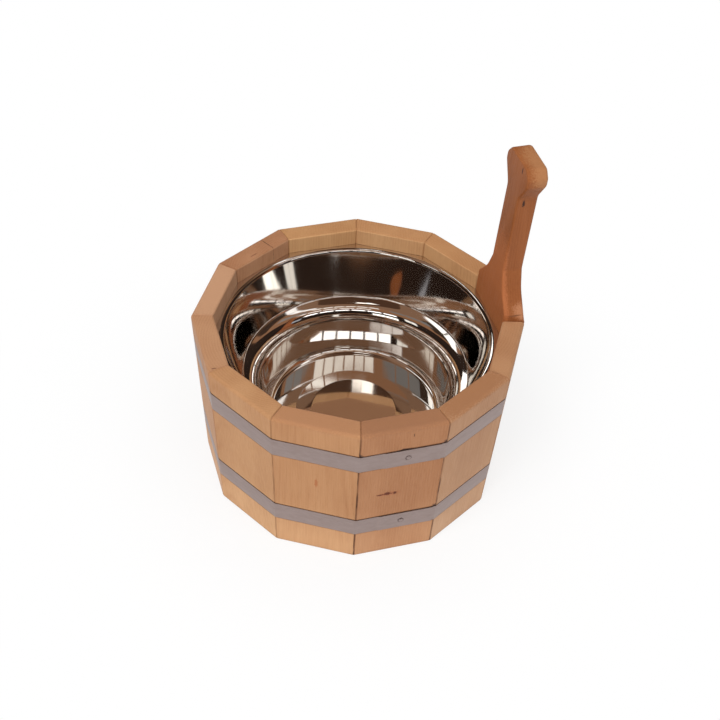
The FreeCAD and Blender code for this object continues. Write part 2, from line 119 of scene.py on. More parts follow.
floor_mesh = bpy.data.meshes.new("floor")
shape = bmesh.new()
bmesh.ops.create_circle(shape, cap_ends=True, segments=64, radius=12)
shape.to_mesh(floor_mesh)
shape.free()
floor_mesh.transform(Matrix.Translation((0, 0, -0.0003)))
floor = bpy.data.objects.new("floor", floor_mesh)
bpy.context.scene.collection.objects.link(floor)
floor_white = bpy.data.materials.new("floor_white")
floor_white.use_nodes = True
tree = floor_white.node_tree
tree.nodes.clear()
lit = add_node(tree, "ShaderNodeBsdfDiffuse", Color=(0.92, 0.92, 0.92, 1))
glow = add_node(tree, "ShaderNodeEmission", Color=(1, 1, 1, 1), Strength=1.0)
spots = add_node(tree, "ShaderNodeTexCoord")
distance = add_node(tree, "ShaderNodeVectorMath", operation="LENGTH")
whiter = add_node(
    tree, "ShaderNodeMapRange", From_Min=0.20, From_Max=0.40, To_Min=0.78, To_Max=1.0)
tree.links.new(spots.outputs["Object"], distance.inputs[0])
tree.links.new(distance.outputs["Value"], whiter.inputs["Value"])
share = add_node(tree, "ShaderNodeMath", operation="MULTIPLY")
tree.links.new(whiter.outputs[0], share.inputs[1])
mixed = add_node(tree, "ShaderNodeMixShader")
output = add_node(tree, "ShaderNodeOutputMaterial")
tree.links.new(seen_in_white(tree), share.inputs[0])
tree.links.new(share.outputs[0], mixed.inputs[0])
tree.links.new(lit.outputs[0], mixed.inputs[1])
tree.links.new(glow.outputs[0], mixed.inputs[2])
tree.links.new(mixed.outputs[0], output.inputs["Surface"])
floor_mesh.materials.append(floor_white)


def towards(azimuth, elevation):
    """Unit vector to a compass direction and a height over the horizon, in degrees."""
    across, along = math.radians(azimuth), math.radians(elevation)
    return Vector((
        math.cos(along) * math.cos(across), math.cos(along) * math.sin(across), math.sin(along)))


for name, azimuth, elevation, strength, softness in (
    ("key_light", -140, 50, 1.7, 35),
    ("fill_light", -60, 40, 0.55, 50),
    ("top_light", 60, 78, 0.5, 60),
):
    lamp_data = bpy.data.lights.new(name, "SUN")
    lamp_data.energy = strength
    lamp_data.angle = math.radians(softness)
    lamp = bpy.data.objects.new(name, lamp_data)
    lamp.rotation_mode = "QUATERNION"
    lamp.rotation_quaternion = towards(azimuth, elevation).to_track_quat("Z", "Y")
    lamp.visible_glossy = False
    bpy.context.scene.collection.objects.link(lamp)


# Dark room with windows that only mirrors see, for the steel bowl: a brown dome above the object
# and bright panes hung inside it. They throw no light and no shadow on the object.


def glowing(name, colour, strength):
    material = bpy.data.materials.new(name)
    material.use_nodes = True
    tree = material.node_tree
    tree.nodes.clear()
    light = add_node(tree, "ShaderNodeEmission", Color=(*colour, 1), Strength=strength)
    output = add_node(tree, "ShaderNodeOutputMaterial")
    tree.links.new(light.outputs[0], output.inputs["Surface"])
    material.cycles.emission_sampling = "NONE"
    return material


def show_to_mirrors_only(obj):
    obj.visible_camera = False
    obj.visible_diffuse = False
    obj.visible_transmission = False
    obj.visible_volume_scatter = False
    obj.visible_shadow = False


dome_radius = 4.0
dome_rows = 3
dome_step = 10
for name, foot, crown, first, last, colour in (
    ("dark_wall", 8, 33, 0, 360, (0.025, 0.015, 0.011)),
    ("dark_frieze", 33, 43.5, 0, 360, (0.030, 0.018, 0.013)),
    ("front_frieze", 43.5, 62, 150, 380, (0.30, 0.15, 0.080)),
    ("back_frieze", 43.5, 47, 20, 150, (0.30, 0.15, 0.080)),
    ("back_slope", 47, 62, 20, 150, (0.050, 0.030, 0.020)),
    ("high_slope", 62, 74, 0, 360, (0.25, 0.14, 0.085)),
    ("ceiling", 74, 90, 0, 360, (0.085, 0.042, 0.024)),
):
    band_mesh = bpy.data.meshes.new(name)
    shape = bmesh.new()
    rows = [
        [
            shape.verts.new(
                towards(azimuth, foot + (crown - foot) * step / dome_rows) * dome_radius)
            for azimuth in range(first, last + 1, dome_step)]
        for step in range(dome_rows + 1)
    ]
    for low, high in zip(rows, rows[1:]):
        for index in range(len(low) - 1):
            shape.faces.new((low[index], high[index], high[index + 1], low[index + 1]))
    bmesh.ops.remove_doubles(shape, verts=shape.verts[:], dist=0.0001)
    shape.to_mesh(band_mesh)
    shape.free()
    band = bpy.data.objects.new(name, band_mesh)
    bpy.context.scene.collection.objects.link(band)
    band_mesh.materials.append(glowing(f"{name}_colour", colour, 1.0))
    show_to_mirrors_only(band)

window_distance = 3.5
upright_bar = 0.012
level_bar = 0.02
pane_parts = 4
for name, azimuth, elevation, width, height, panes, colour, strength in (
    ("left_window", 222, 25, 30, 9, (2, 1), (1.0, 0.97, 0.90), 2.2),
    ("side_window", 190, 36, 16, 9, (2, 1), (1.0, 0.97, 0.90), 1.2),
    ("low_slit", 96, 24, 16, 23, (2, 1), (1.0, 0.98, 0.94), 2.0),
    ("high_slit", 117, 54, 12, 22, (1, 2), (1.0, 0.98, 0.94), 1.6),
    ("grey_window", 325, 32, 12, 6, (2, 1), (0.9, 0.92, 1.0), 0.5),
    ("front_window", 262, 39.3, 112, 4.6, (6, 1), (1.0, 0.97, 0.95), 2.4),
    ("back_skylight", 2, 64, 84, 4.4, (3, 1), (1.0, 0.97, 0.95), 1.3),
    ("front_skylight", 272, 59.6, 98, 4.6, (6, 1), (1.0, 0.93, 0.84), 1.1),
    ("low_skylight", 288, 49.8, 104, 3.0, (5, 1), (1.0, 0.96, 0.90), 1.4),
    ("left_skylight", 175, 57.5, 70, 6, (3, 1), (0.85, 0.80, 0.76), 0.25),
    ("right_skylight", 348, 55.5, 50, 5, (3, 1), (0.85, 0.80, 0.76), 0.30),
    ("roof_light", 226, 83, 76, 5, (2, 1), (1.0, 0.93, 0.85), 2.2),
):
    pane_mesh = bpy.data.meshes.new(name)
    shape = bmesh.new()
    columns, lines = panes
    for column in range(columns):
        for line in range(lines):
            left, pane_width = column / columns + upright_bar, 1 / columns - 2 * upright_bar
            low, high = line / lines + level_bar, (line + 1) / lines - level_bar
            for part in range(pane_parts):
                start = left + pane_width * part / pane_parts
                end = left + pane_width * (part + 1) / pane_parts
                corners = [
                    towards(azimuth + width * (u - 0.5), elevation + height * (v - 0.5))
                    for u, v in ((start, low), (end, low), (end, high), (start, high))
                ]
                shape.faces.new([shape.verts.new(corner * window_distance) for corner in corners])
    shape.to_mesh(pane_mesh)
    shape.free()
    window = bpy.data.objects.new(name, pane_mesh)
    bpy.context.scene.collection.objects.link(window)
    pane_mesh.materials.append(glowing(f"{name}_light", colour, strength))
    show_to_mirrors_only(window)


# Staves: eleven planed pale boards, bevelled to meet on twelve corners and leaning outwards. Their
# edges are sanded, and their wood is stained where two meet. Painted shade darkens it above and
# below the steel hoops and in notches above them, it is darker along the foot, and its outer faces
# are painted lighter near the floor, like light bounced from it.


def figure(tree, operation, *terms, clamp=False):
    """Math node of its terms, each a socket or a number; gives the result's socket."""
    node = add_node(tree, "ShaderNodeMath", operation=operation, use_clamp=clamp)
    for socket, term in zip(node.inputs, terms):
        if isinstance(term, (int, float)):
            socket.default_value = term
        else:
            tree.links.new(term, socket)
    return node.outputs[0]


def stretched(tree, vector, scale):
    node = add_node(tree, "ShaderNodeVectorMath", operation="MULTIPLY")
    tree.links.new(vector, node.inputs[0])
    node.inputs[1].default_value = scale
    return node.outputs[0]


def noise(tree, vector, detail=2, roughness=0.5):
    node = add_node(tree, "ShaderNodeTexNoise", Scale=1, Detail=detail, Roughness=roughness)
    tree.links.new(vector, node.inputs["Vector"])
    return node.outputs[0]


def eased(tree, value, low, high, to_low=0.0, to_high=1.0):
    """Value taken smoothly from one range to another and held at the ends."""
    node = add_node(tree, "ShaderNodeMapRange", interpolation_type="SMOOTHSTEP")
    for socket, term in zip(node.inputs, (value, low, high, to_low, to_high)):
        if isinstance(term, (int, float)):
            socket.default_value = term
        else:
            tree.links.new(term, socket)
    return node.outputs[0]


def tinted(tree, share, first, second):
    """Mix of two colours, each a socket or a linear colour."""
    node = add_node(tree, "ShaderNodeMix", data_type="RGBA")
    tree.links.new(share, node.inputs["Factor"])
    for socket, colour in zip((node.inputs[6], node.inputs[7]), (first, second)):
        if isinstance(colour, tuple):
            socket.default_value = (*colour, 1)
        else:
            tree.links.new(colour, socket)
    return node.outputs[2]


def new_group(name, inputs, outputs):
    group = bpy.data.node_groups.new(name, "ShaderNodeTree")
    for label, kind in inputs:
        group.interface.new_socket(label, in_out="INPUT", socket_type=f"NodeSocket{kind}")
    for label, kind in outputs:
        group.interface.new_socket(label, in_out="OUTPUT", socket_type=f"NodeSocket{kind}")
    given = group.nodes.new("NodeGroupInput").outputs
    return group, given, group.nodes.new("NodeGroupOutput").inputs


wood_grain, given, result = new_group(
    "wood_grain",
    (("Grain", "Vector"), ("Pale", "Color"), ("Dark", "Color")),
    (("Color", "Color"), ("Roughness", "Float"), ("Height", "Float")),
)
rings = add_node(
    wood_grain, "ShaderNodeTexWave", wave_type="RINGS", rings_direction="Z",
    Scale=125, Distortion=3.6, Detail=2, Detail_Scale=0.35, Detail_Roughness=0.55)
wood_grain.links.new(stretched(wood_grain, given["Grain"], (1, 1, 0.08)), rings.inputs["Vector"])
late_wood = figure(wood_grain, "POWER", rings.outputs[1], 2.2)
fibres = noise(wood_grain, stretched(wood_grain, given["Grain"], (850, 850, 13)), 3, 0.6)
fine_fibres = noise(wood_grain, stretched(wood_grain, given["Grain"], (2400, 2400, 60)), 1)
clouds = noise(wood_grain, stretched(wood_grain, given["Grain"], (26, 26, 9)), 2)
pores = eased(
    wood_grain, noise(wood_grain, stretched(wood_grain, given["Grain"], (1900, 1900, 90)), 0),
    0.66, 0.76)
ring_share = eased(wood_grain, clouds, 0.35, 0.65, 0.03, 0.19)
tone = figure(wood_grain, "MULTIPLY", late_wood, ring_share)
tone = figure(wood_grain, "MULTIPLY_ADD", fibres, 0.60, tone)
tone = figure(wood_grain, "MULTIPLY_ADD", fine_fibres, 0.16, tone)
tone = figure(wood_grain, "MULTIPLY_ADD", clouds, 0.95, tone)
tone = figure(wood_grain, "MULTIPLY_ADD", pores, 0.16, tone)
tone = figure(wood_grain, "SUBTRACT", tone, 0.565, clamp=True)
wood_grain.links.new(tinted(wood_grain, tone, given["Pale"], given["Dark"]), result["Color"])
wood_grain.links.new(eased(wood_grain, fibres, 0.3, 0.7, 0.55, 0.68), result["Roughness"])
relief = figure(wood_grain, "MULTIPLY_ADD", late_wood, 0.35, fibres)
wood_grain.links.new(
    figure(wood_grain, "MULTIPLY_ADD", pores, -0.6, relief), result["Height"])

# A ragged patch of colour: stains, knots and cracks, and on some pieces painted shade and painted
# light.
blemish_and_painted_light, given, result = new_group(
    "blemish_and_painted_light",
    (("Place", "Vector"), ("Centre", "Vector"), ("Reach", "Vector")),
    (("Share", "Float"),),
)
offset = add_node(blemish_and_painted_light, "ShaderNodeVectorMath", operation="SUBTRACT")
blemish_and_painted_light.links.new(given["Place"], offset.inputs[0])
blemish_and_painted_light.links.new(given["Centre"], offset.inputs[1])
reach = add_node(blemish_and_painted_light, "ShaderNodeVectorMath", operation="DIVIDE")
blemish_and_painted_light.links.new(offset.outputs[0], reach.inputs[0])
blemish_and_painted_light.links.new(given["Reach"], reach.inputs[1])
distance = add_node(blemish_and_painted_light, "ShaderNodeVectorMath", operation="LENGTH")
blemish_and_painted_light.links.new(reach.outputs[0], distance.inputs[0])
ragged = noise(blemish_and_painted_light, stretched(blemish_and_painted_light, given["Place"], (700, 700, 700)), 1)
edge = figure(blemish_and_painted_light, "MULTIPLY_ADD", ragged, 0.9, distance.outputs["Value"])
blemish_and_painted_light.links.new(eased(blemish_and_painted_light, edge, 0.9, 1.5, 1.0, 0.0), result["Share"])

stave_turn = math.radians(30)
half_turn = stave_turn / 2
rim_height = 0.168
hoop_tops = (0.0525, 0.141)
hoop_width = 0.020
outer_skin = 0.1335
# Painted floor bounce: tops and outer faces are multiplied by this tint except near the foot, so
# the outer faces are painted lighter close to the floor, like light bounced from it.
painted_bounce_tint = (0.775, 0.70, 0.64)
# Colour of the dark joint lines, and of the painted shade at the hoops and the darker foot.
grime_and_shade_brown = (0.095, 0.036, 0.016)
knot_brown = (0.120, 0.028, 0.012)
# Colour of cracks, and of painted shade in the notches just above the hoops.
crack_and_shade_brown = (0.050, 0.020, 0.012)

# Dark joint lines, with painted shade above and below the hoops, a darker foot and a painted floor
# bounce.
tub_wear_and_shade, given, result = new_group(
    "tub_wear_and_shade",
    (("Place", "Vector"), ("Right Joint", "Float"), ("Left Joint", "Float")),
    (("Grime And Shade", "Float"), ("Tan", "Color")),
)
parts = add_node(tub_wear_and_shade, "ShaderNodeSeparateXYZ")
tub_wear_and_shade.links.new(given["Place"], parts.inputs[0])
across = figure(tub_wear_and_shade, "ABSOLUTE", parts.outputs["Y"])
to_joint = figure(tub_wear_and_shade, "MULTIPLY", parts.outputs["X"], math.tan(half_turn))
to_joint = figure(tub_wear_and_shade, "SUBTRACT", to_joint, across)
on_right = figure(tub_wear_and_shade, "LESS_THAN", parts.outputs["Y"], 0.0)
right_share = figure(tub_wear_and_shade, "MULTIPLY", on_right, given["Right Joint"])
on_left = figure(tub_wear_and_shade, "SUBTRACT", 1.0, on_right)
joint_share = figure(tub_wear_and_shade, "MULTIPLY_ADD", on_left, given["Left Joint"], right_share)
uneven = noise(tub_wear_and_shade, stretched(tub_wear_and_shade, given["Place"], (160, 160, 45)), 2)
uneven = eased(tub_wear_and_shade, uneven, 0.3, 0.65, 0.35, 1.0)
line = figure(
    tub_wear_and_shade, "MULTIPLY", eased(tub_wear_and_shade, to_joint, 0.0004, 0.0013, 1.0, 0.0), joint_share)
grime_and_shade = figure(tub_wear_and_shade, "MULTIPLY", line, uneven)
near_joint = eased(tub_wear_and_shade, to_joint, 0.001, 0.006, 1.0, 0.0)
outside = figure(tub_wear_and_shade, "GREATER_THAN", parts.outputs["X"], outer_skin)
# Painted shade: a dark band on the outer faces just above each hoop's top edge, deeper near the
# joints, and a fainter one just below its lower edge.
for top in hoop_tops:
    over = figure(tub_wear_and_shade, "SUBTRACT", parts.outputs["Z"], top)
    shadow = eased(tub_wear_and_shade, over, 0.0006, 0.0024, 1.0, 0.0)
    over_top = figure(tub_wear_and_shade, "GREATER_THAN", over, -0.001)
    stain_and_painted_light = figure(tub_wear_and_shade, "MULTIPLY", shadow, over_top)
    depth = figure(tub_wear_and_shade, "MULTIPLY_ADD", near_joint, 0.35, 0.5)
    stain_and_painted_light = figure(tub_wear_and_shade, "MULTIPLY", stain_and_painted_light, depth)
    under = figure(tub_wear_and_shade, "SUBTRACT", top - hoop_width, parts.outputs["Z"])
    under_shadow = eased(tub_wear_and_shade, under, 0.0002, 0.0012, 0.25, 0.0)
    under_foot = figure(tub_wear_and_shade, "GREATER_THAN", under, -0.001)
    stain_and_painted_light = figure(
        tub_wear_and_shade, "MAXIMUM", stain_and_painted_light, figure(tub_wear_and_shade, "MULTIPLY", under_shadow, under_foot))
    stain_and_painted_light = figure(tub_wear_and_shade, "MULTIPLY", stain_and_painted_light, outside)
    grime_and_shade = figure(tub_wear_and_shade, "MAXIMUM", grime_and_shade, stain_and_painted_light)
# Darker towards the bottom: a band 3.5 mm high along the foot.
foot = eased(tub_wear_and_shade, parts.outputs["Z"], 0.0, 0.0035, 0.30, 0.0)
grime_and_shade = figure(tub_wear_and_shade, "MAXIMUM", grime_and_shade, foot)
tub_wear_and_shade.links.new(figure(tub_wear_and_shade, "MINIMUM", grime_and_shade, 1.0), result["Grime And Shade"])
# Painted floor bounce: 0 at the foot, rising to 1 at 70 mm, on the tops and outer faces only.
painted_bounce_share = eased(tub_wear_and_shade, parts.outputs["Z"], 0.005, 0.070)
open_face = figure(
    tub_wear_and_shade, "MAXIMUM", figure(tub_wear_and_shade, "GREATER_THAN", parts.outputs["Z"], 0.1672),
    figure(tub_wear_and_shade, "GREATER_THAN", parts.outputs["X"], outer_skin))
painted_bounce_share = figure(tub_wear_and_shade, "MULTIPLY", painted_bounce_share, open_face)
tub_wear_and_shade.links.new(tinted(tub_wear_and_shade, painted_bounce_share, (1, 1, 1), painted_bounce_tint), result["Tan"])


def wood_finish(name, pale, dark, turn, pith, tilt, seed, joints=(0, 0), marks=(), specular=0.25):
    """Bare planed wood: grain along the board; at its joints dark lines, painted shade at the
    hoops, a darker foot and a painted floor bounce; and any marks of its own, some of them painted
    light.
    """
    material = bpy.data.materials.new(name)
    material.use_nodes = True
    tree = material.node_tree
    shader = tree.nodes["Principled BSDF"]
    shader.inputs["Specular IOR Level"].default_value = specular
    spots = add_node(tree, "ShaderNodeTexCoord")
    place = add_node(tree, "ShaderNodeMapping", Rotation=(0, 0, -turn))
    tree.links.new(spots.outputs["Object"], place.inputs["Vector"])
    grain = add_node(
        tree, "ShaderNodeMapping", Location=(-pith[0], -pith[1], seed), Rotation=tilt)
    tree.links.new(place.outputs[0], grain.inputs["Vector"])
    wood = add_node(
        tree, "ShaderNodeGroup", node_tree=wood_grain, Pale=(*pale, 1), Dark=(*dark, 1))
    tree.links.new(grain.outputs[0], wood.inputs["Grain"])
    colour = wood.outputs["Color"]
    if any(joints):
        wear = add_node(
            tree, "ShaderNodeGroup", node_tree=tub_wear_and_shade, Right_Joint=joints[0],
            Left_Joint=joints[1])
        tree.links.new(place.outputs[0], wear.inputs["Place"])
        # Painted floor bounce: the wood is multiplied by the bounce tint.
        bounce_tinted = add_node(tree, "ShaderNodeMix", data_type="RGBA", blend_type="MULTIPLY", Factor=1)
        tree.links.new(colour, bounce_tinted.inputs[6])
        tree.links.new(wear.outputs["Tan"], bounce_tinted.inputs[7])
        # Dark joint lines, with painted shade at the hoops and a darker foot.
        colour = tinted(tree, wear.outputs["Grime And Shade"], bounce_tinted.outputs[2], grime_and_shade_brown)
    # Marks: stains, knots and cracks, and a few patches of painted shade and painted light.
    for centre, size, stain_and_painted_light in marks:
        mark = add_node(
            tree, "ShaderNodeGroup", node_tree=blemish_and_painted_light, Centre=centre, Reach=size)
        tree.links.new(place.outputs[0], mark.inputs["Place"])
        colour = tinted(tree, mark.outputs["Share"], colour, stain_and_painted_light)
    tree.links.new(colour, shader.inputs["Base Color"])
    tree.links.new(wood.outputs["Roughness"], shader.inputs["Roughness"])
    relief = add_node(tree, "ShaderNodeBump", Strength=0.35, Distance=0.0003)
    tree.links.new(wood.outputs["Height"], relief.inputs["Height"])
    tree.links.new(relief.outputs[0], shader.inputs["Normal"])
    return material


widest_edge = 0.003
rim_edge = 0.0014
sanded_edge = 0.0004
tight_joint_edge = 0.0002
open_joint_edge = 0.0009
beside_hoop_edge = 0.00012
top_unevenness = 0.0006
uneven_height = 0.008


def soften(name, width_of, drop=0.0):
    """Piece that stands for a CAD node: whole faces, with each sharp edge rounded by its width."""
    mesh = nodes[name].data.copy()
    mesh.name = f"planed_{name}"
    if "custom_normal" in mesh.attributes:
        mesh.attributes.remove(mesh.attributes["custom_normal"])
    shape = bmesh.new()
    shape.from_mesh(mesh)
    bmesh.ops.remove_doubles(shape, verts=shape.verts[:], dist=0.000001)
    bmesh.ops.dissolve_limit(
        shape, angle_limit=math.radians(0.4), verts=shape.verts[:], edges=shape.edges[:])
    for vert in shape.verts:
        if rim_height - uneven_height < vert.co.z < rim_height + 0.0002:
            vert.co.z -= drop * (vert.co.z - rim_height + uneven_height) / uneven_height
    for face in shape.faces:
        face.smooth = True
    widths = shape.edges.layers.float.new("bevel_weight_edge")
    for edge in shape.edges:
        if edge.is_manifold and edge.calc_face_angle() > math.radians(28):
            edge[widths] = width_of(*(vert.co for vert in edge.verts)) / widest_edge
    shape.to_mesh(mesh)
    shape.free()
    mesh.materials.clear()
    piece = bpy.data.objects.new(f"planed_{name}", mesh)
    bpy.context.scene.collection.objects.link(piece)
    rounding = piece.modifiers.new("rounding", "BEVEL")
    rounding.limit_method = "WEIGHT"
    rounding.width = widest_edge
    rounding.segments = 3
    rounding.harden_normals = True
    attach(piece, "root")
    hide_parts(name)
    return piece


def stave_edge_width(turn, joints):
    """Widths of a stave's rounded edges: wide where a joint is open, narrow beside the hoops."""
    across = Matrix.Rotation(-turn, 3, "Z")

    def width(first, second):
        first, second = across @ first, across @ second
        middle = (first + second) / 2
        if any(top - hoop_width - 0.002 < middle.z < top + 0.003 for top in hoop_tops):
            return beside_hoop_edge
        if middle.z > 0.166 and middle.x > 0.147 and abs(first.z - second.z) < 0.004:
            return rim_edge
        gaps = [end.x * math.tan(half_turn) - abs(end.y) for end in (first, second)]
        if max(gaps) < 0.0008:
            opened = joints[0 if middle.y < 0 else 1]
            return tight_joint_edge + (open_joint_edge - tight_joint_edge) * opened
        return sanded_edge

    return width


joint_depths = {
    1: 0.12, 2: 0.15, 3: 0.20, 4: 0.30, 5: 0.25, 6: 0.15, 7: 0.35, 8: 1.0, 9: 0.85, 10: 0.25,
    11: 0.20, 0: 0.20,
}


def worn_top(colour):
    """Mark that covers the whole sawn top of a stave."""
    return (0.1390, 0.0000, 0.1690), (0.0220, 0.0700, 0.0070), colour


staves = (
    (1, (0.66, 0.37, 0.175), (0.060, 0.030), 1.0, ()),
    (2, (0.68, 0.39, 0.19), (0.160, -0.085), 0.6, ()),
    (3, (0.66, 0.38, 0.18), (0.150, 0.080), -0.8, ()),
    (4, (0.56, 0.30, 0.165), (0.070, -0.020), 1.6, (
        ((0.139, -0.0140, 0.163), (0.014, 0.00045, 0.022), crack_and_shade_brown),
        ((0.1345, 0.0070, 0.1682), (0.0008, 0.0060, 0.0012), (0.22, 0.090, 0.045)),
    )),
    (5, (0.62, 0.37, 0.225), (0.155, 0.095), 0.7, (
        worn_top((0.51, 0.275, 0.154)),
    )),
    (6, (0.68, 0.41, 0.24), (0.062, 0.012), -1.8, (
        ((0.1436, 0.0365, 0.1682), (0.0030, 0.0009, 0.0015), (0.20, 0.085, 0.045)),
    )),
    (7, (0.685, 0.405, 0.21), (0.066, -0.022), 2.2, ()),
    (8, (0.665, 0.38, 0.195), (0.075, 0.006), -2.4, (
        worn_top((0.43, 0.205, 0.098)),
        ((0.1452, 0.0008, 0.0948), (0.0030, 0.0018, 0.0070), (0.42, 0.155, 0.060)),
    )),
    (9, (0.58, 0.305, 0.157), (0.150, -0.090), 0.8, (
        worn_top((0.34, 0.155, 0.075)),
        ((0.1444, -0.0095, 0.0842), (0.0030, 0.0130, 0.0032), (0.40, 0.150, 0.065)),
        ((0.1444, -0.0107, 0.0845), (0.0034, 0.0036, 0.0027), knot_brown),
        ((0.1444, -0.0036, 0.0840), (0.0034, 0.0024, 0.0022), knot_brown),
        ((0.1444, -0.0175, 0.0840), (0.0034, 0.0042, 0.0012), knot_brown),
        ((0.1444, -0.0110, 0.0840), (0.0034, 0.0110, 0.0007), knot_brown),
        # Dark spots just above the hoops' top edges, at two joints and near the lap: painted shade
        # in the notches there.
        ((0.1480, 0.0020, 0.1412), (0.0060, 0.0090, 0.0028), crack_and_shade_brown),
        ((0.1480, 0.0395, 0.1412), (0.0090, 0.0050, 0.0052), crack_and_shade_brown),
        ((0.1425, 0.0380, 0.0528), (0.0090, 0.0050, 0.0052), crack_and_shade_brown),
        ((0.1480, -0.0395, 0.1412), (0.0090, 0.0042, 0.0046), crack_and_shade_brown),
        ((0.1491, 0.0081, 0.1590), (0.0030, 0.0005, 0.0030), crack_and_shade_brown),
    )),
    (10, (0.65, 0.40, 0.24), (0.155, 0.100), -0.9, (
        worn_top((0.36, 0.165, 0.075)),
    )),
    (11, (0.61, 0.35, 0.19), (0.064, 0.020), 1.3, ()),
)
uneven_tops = random.Random(7)
for index, pale, pith, lean, marks in staves:
    name = f"stave_{index:02d}"
    turn = index * stave_turn
    joints = (joint_depths[index - 1], joint_depths[index])
    piece = soften(name, stave_edge_width(turn, joints), uneven_tops.uniform(0.0, top_unevenness))
    dark = (pale[0] * 0.70, pale[1] * 0.58, pale[2] * 0.50)
    piece.data.materials.append(wood_finish(
        f"{name}_wood", pale, dark, turn, pith, (0, math.radians(lean), 0), index * 0.37, joints,
        marks))


# Handle stave: the twelfth stave, sawn from one long board, with a flared neck, a grip and a
# wider head with cut corners. Its edges are sanded round for the hand, and its wood is redder.


hand_edge = 0.0024


def handle_edge_width(first, second):
    middle = (first + second) / 2
    if middle.z > rim_height + 0.001:
        return hand_edge
    return stave_edge_width(0.0, (joint_depths[11], joint_depths[0]))(first, second)


handle = soften("handle_stave", handle_edge_width)
handle.data.materials.append(wood_finish(
    "handle_wood", (0.440, 0.158, 0.050), (0.270, 0.084, 0.025), 0.0, (0.040, -0.015),
    (0, math.radians(-0.8), 0), 2.3, (joint_depths[11], joint_depths[0]), (
        ((0.1560, -0.0100, 0.3190), (0.0160, 0.0450, 0.0190), (0.40, 0.172, 0.068)),
        # Paler patch on the inner face: painted light that lifts the shade there.
        ((0.1310, 0.0000, 0.2000), (0.0065, 0.0800, 0.0700), (0.425, 0.138, 0.048)),
        ((0.1470, -0.0370, 0.1800), (0.0110, 0.0100, 0.0130), (0.44, 0.185, 0.085)),
        ((0.1400, -0.0365, 0.1735), (0.0080, 0.0030, 0.0007), (0.20, 0.072, 0.030)),
        ((0.1392, -0.0110, 0.3190), (0.0030, 0.0013, 0.0040), (0.060, 0.022, 0.014)),
        ((0.1434, -0.0140, 0.2850), (0.0016, 0.0030, 0.0050), crack_and_shade_brown),
    )))


# Bottom: three planed boards edge to edge, their ends cut to the tub's round and let into a
# groove in the staves. Four hidden dowels keep the boards level with each other.

board_edge = 0.0005
for number, seed in ((1, 5.1), (2, 6.3), (3, 7.7)):
    name = f"bottom_board_{number}"
    board = soften(name, lambda first, second: board_edge)
    board.data.materials.append(wood_finish(
        f"{name}_wood", (0.60, 0.36, 0.18), (0.44, 0.23, 0.10), 0.0, (0.0, 0.0),
        (0, math.radians(90), 0), seed))
dowel_wood = wood_finish(
    "dowel_wood", (0.62, 0.40, 0.22), (0.48, 0.27, 0.13), 0.0, (0.0, 0.0), (math.radians(90), 0, 0),
    9.2)
nodes["bottom_dowels"].data.materials[0] = dowel_wood


# Steel bowl: spun from one sheet and polished inside, with a flange that sits in a groove of the
# staves, a ledge half way down, and a low boss pressed up in its floor.

hub_radius = 0.001
bowl_sheet = 0.0008
spun_form = bpy.data.node_groups.new("spun_form", "GeometryNodeTree")
spun_form.is_modifier = True
for label, kind, in_out in (
    ("Profile", "Geometry", "INPUT"), ("Segments", "Int", "INPUT"),
    ("Corner Steps", "Int", "INPUT"), ("Finish", "Material", "INPUT"),
    ("Form", "Geometry", "OUTPUT"),
):
    spun_form.interface.new_socket(label, in_out=in_out, socket_type=f"NodeSocket{kind}")
given = spun_form.nodes.new("NodeGroupInput").outputs
result = spun_form.nodes.new("NodeGroupOutput").inputs
line = add_node(spun_form, "GeometryNodeMeshToCurve")
spun_form.links.new(given["Profile"], line.inputs["Mesh"])
corner = add_node(spun_form, "GeometryNodeInputNamedAttribute", data_type="FLOAT")
corner.inputs["Name"].default_value = "corner_radius"
rounded = add_node(spun_form, "GeometryNodeFilletCurve", mode="POLY")
spun_form.links.new(line.outputs[0], rounded.inputs["Curve"])
spun_form.links.new(given["Corner Steps"], rounded.inputs["Count"])
spun_form.links.new(corner.outputs["Attribute"], rounded.inputs["Radius"])
circle = add_node(spun_form, "GeometryNodeCurvePrimitiveCircle", mode="RADIUS")
circle.inputs["Radius"].default_value = hub_radius
spun_form.links.new(given["Segments"], circle.inputs["Resolution"])
upright = add_node(spun_form, "GeometryNodeSetCurveNormal", mode="Z_UP")
spun_form.links.new(circle.outputs[0], upright.inputs["Curve"])
shift = add_node(spun_form, "GeometryNodeTransform")
shift.inputs["Translation"].default_value = (-hub_radius, 0, 0)
shift.inputs["Rotation"].default_value = (math.pi, 0, 0)
spun_form.links.new(rounded.outputs[0], shift.inputs["Geometry"])
swept = add_node(spun_form, "GeometryNodeCurveToMesh")
spun_form.links.new(upright.outputs[0], swept.inputs["Curve"])
spun_form.links.new(shift.outputs[0], swept.inputs["Profile Curve"])
closed = add_node(spun_form, "GeometryNodeMergeByDistance")
closed.inputs["Distance"].default_value = 0.000002
spun_form.links.new(swept.outputs[0], closed.inputs["Geometry"])
smooth = add_node(spun_form, "GeometryNodeSetShadeSmooth")
spun_form.links.new(closed.outputs[0], smooth.inputs["Geometry"])
whole = add_node(spun_form, "GeometryNodeRealizeInstances")
spun_form.links.new(smooth.outputs[0], whole.inputs["Geometry"])
finished = add_node(spun_form, "GeometryNodeSetMaterial")
spun_form.links.new(whole.outputs[0], finished.inputs["Geometry"])
spun_form.links.new(given["Finish"], finished.inputs["Material"])
spun_form.links.new(finished.outputs[0], result["Form"])


